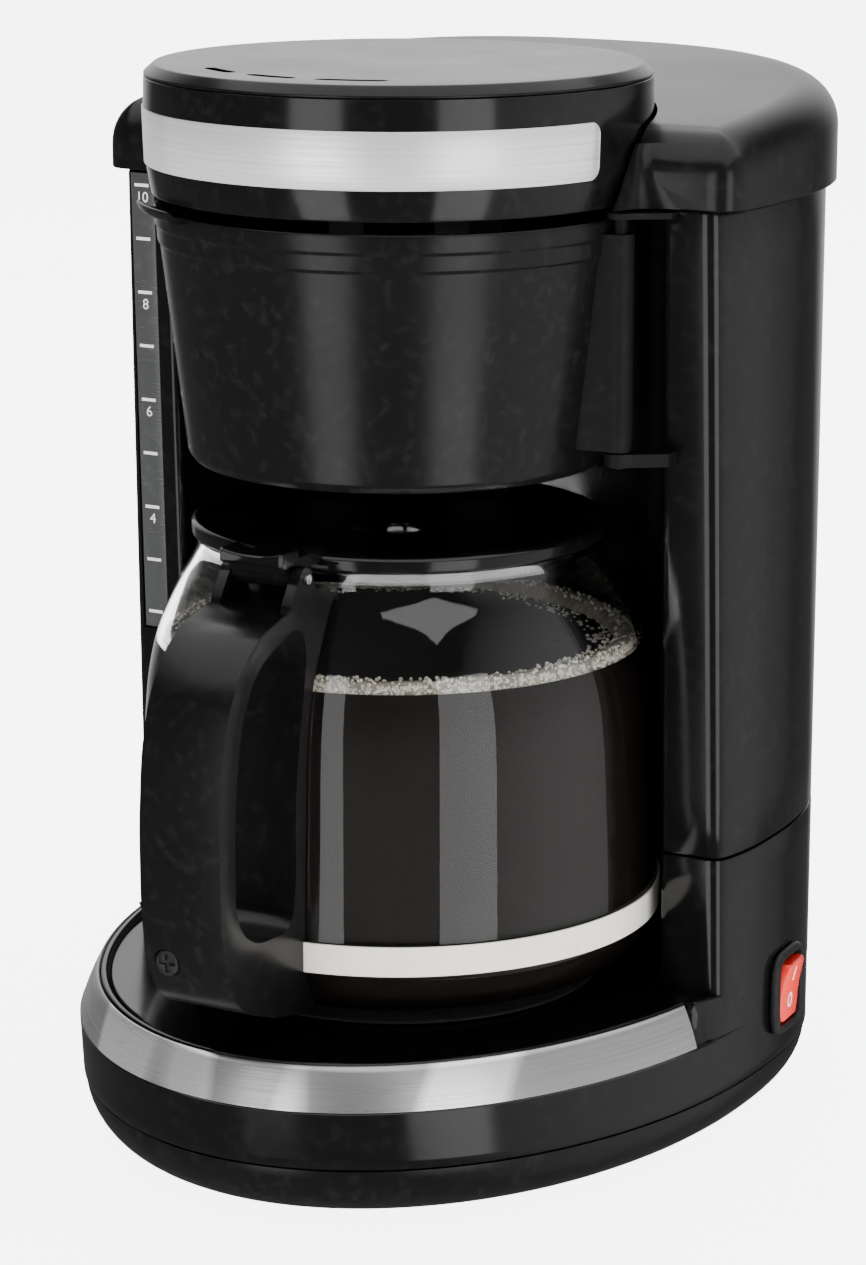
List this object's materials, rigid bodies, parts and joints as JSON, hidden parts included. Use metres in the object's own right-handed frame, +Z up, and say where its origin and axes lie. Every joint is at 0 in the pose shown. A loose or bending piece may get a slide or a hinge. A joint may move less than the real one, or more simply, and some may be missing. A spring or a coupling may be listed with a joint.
{
  "type": "drip coffee maker",
  "caption": "Upright drip coffee maker: rounded base with hot plate, tall water tower, round brew head, swing-out filter basket and glass carafe with loop handle.",
  "frame": {"origin": "on the surface it stands on, under the middle of the whole object's bounding box", "axes": "+Z up; the front, with the carafe handle, faces -Y; +X is the side with the switch"},
  "size_m": [0.2051, 0.2472, 0.3046],
  "materials": {
    "gloss_black": "moulded, glossy",
    "satin_black": "moulded, satin with a fine grain",
    "matt_black": "moulded, matt",
    "red_plastic": "moulded, translucent red",
    "smoked_window": "clear grey plastic",
    "tank_plastic": "translucent, satin",
    "brushed_steel": "brushed along its length",
    "steel": "plain bright steel",
    "aluminium": "satin",
    "silicone": "soft, satin",
    "rubber": "matt",
    "glass": "clear, blown"
  },
  "bodies": {
    "housing": {"base_housing": "gloss_black", "tower_housing": "gloss_black", "head_housing": "gloss_black", "bottom_cover": "satin_black", "head_cap": "satin_black", "check_valve_body": "satin_black", "cord_gland": "matt_black", "switch_bezel": "matt_black", "switch_body": "matt_black", "gauge_window": "smoked_window", "water_tank": "tank_plastic", "base_trim_band": "brushed_steel", "head_trim_band": "brushed_steel", "hot_plate": "steel", "heater_clamp": "steel", "heater_clamp_screw": "steel", "thermostat": "steel", "basket_hinge_pin": "steel", "hose_clamp_tank": "steel", "base_screw_front_left": "steel", "base_screw_front_right": "steel", "base_screw_rear_left": "steel", "base_screw_rear_right": "steel", "heating_element": "aluminium", "water_tube": "aluminium", "shower_head": "aluminium", "hot_plate_seal": "silicone", "inlet_hose": "silicone", "riser_tube": "silicone", "thermal_fuse": "silicone", "foot_front_left": "rubber", "foot_front_right": "rubber", "foot_rear_left": "rubber", "foot_rear_right": "rubber", "lid_hinge_pin": "steel"},
    "tank_lid_body": {"tank_lid": "satin_black"},
    "basket": {"basket_holder": "satin_black", "filter_cup": "satin_black", "drip_seal": "silicone", "drip_spring": "steel"},
    "drip_valve_body": {"drip_valve": "satin_black"},
    "carafe": {"carafe_glass": "glass", "carafe_band": "steel", "carafe_handle": "satin_black", "carafe_hinge_pin": "steel", "handle_screw": "steel"},
    "carafe_lid_body": {"carafe_lid": "satin_black"},
    "rocker": {"rocker_switch": "red_plastic"},
    "check_ball_body": {"check_ball": "steel"}
  },
  "joints": [
    {"name": "tank_lid_hinge", "type": "hinge", "parent": "housing", "child": "tank_lid_body", "pos_m": [0, 0.12155, 0.266], "axis": [-1, 0, 0], "range_deg": [0, 100]},
    {"name": "basket_swing", "type": "hinge", "parent": "housing", "child": "basket", "pos_m": [0.07, -0.01165, 0.24], "axis": [0, 0, 1], "range_deg": [0, 90]},
    {"name": "drip_valve_slide", "type": "slide", "parent": "basket", "child": "drip_valve_body", "axis": [0, 0, 1], "range_m": [0, 0.0018], "stiffness_N_per_m": 150, "springref_m": -0.001, "deforming": ["drip_spring"]},
    {"name": "carafe_slide", "type": "slide", "parent": "housing", "child": "carafe", "axis": [0, -1, 0], "range_m": [0, 0.2]},
    {"name": "carafe_lid_hinge", "type": "hinge", "parent": "carafe", "child": "carafe_lid_body", "pos_m": [0, -0.07965, 0.1748], "axis": [1, 0, 0], "range_deg": [0, 6]},
    {"name": "rocker_tilt", "type": "hinge", "parent": "housing", "child": "rocker", "pos_m": [0.09601, 0.04115, 0.039], "axis": [0.0663, -0.9978, 0], "range_deg": [0, 10]},
    {"name": "check_ball_slide", "type": "slide", "parent": "housing", "child": "check_ball_body", "axis": [0, 1, 0], "range_m": [0, 0.0025]}
  ]
}
